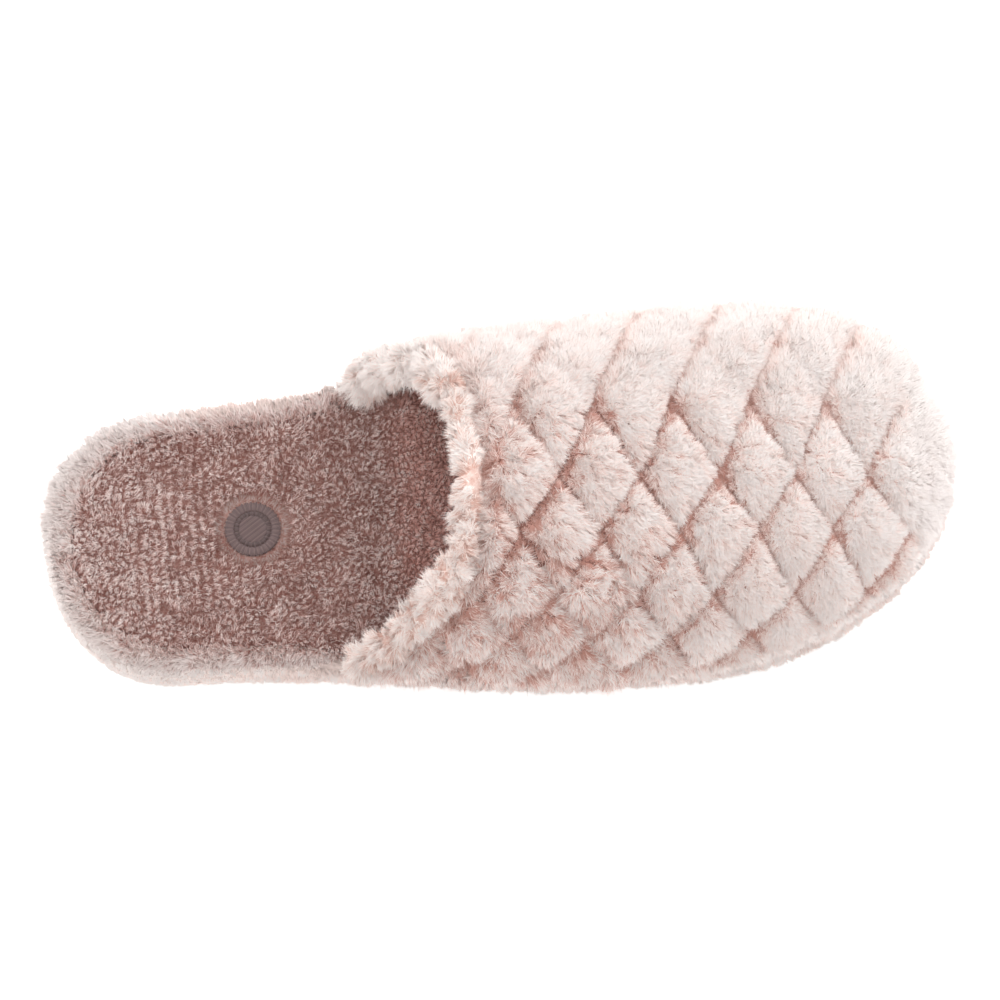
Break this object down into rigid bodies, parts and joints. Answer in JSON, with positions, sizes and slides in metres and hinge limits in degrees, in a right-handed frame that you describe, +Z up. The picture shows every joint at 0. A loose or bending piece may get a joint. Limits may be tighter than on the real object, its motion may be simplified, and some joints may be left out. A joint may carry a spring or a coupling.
{
  "type": "clog slipper",
  "caption": "Backless quilted plush clog slipper with a padded hollow upper, rolled collar, cushioned platform sole and dished footbed.",
  "frame": {"origin": "on the floor, under the middle of the slipper's length and width", "axes": "+X from heel to toe, +Y to the inner (medial) side of a right foot, +Z up from the floor"},
  "size_m": [0.261, 0.1064, 0.0728],
  "materials": {
    "sole_rubber": "matte moulded",
    "blush_plush": "short soft pile",
    "mauve_plush": "dense combed pile",
    "patch_thread": "satin stitch"
  },
  "bodies": {
    "root": {"outsole": "sole_rubber", "midsole": "blush_plush", "insole": "mauve_plush", "upper": "blush_plush", "collar_roll": "blush_plush", "embroidered_patch": "patch_thread"}
  },
  "joints": []
}
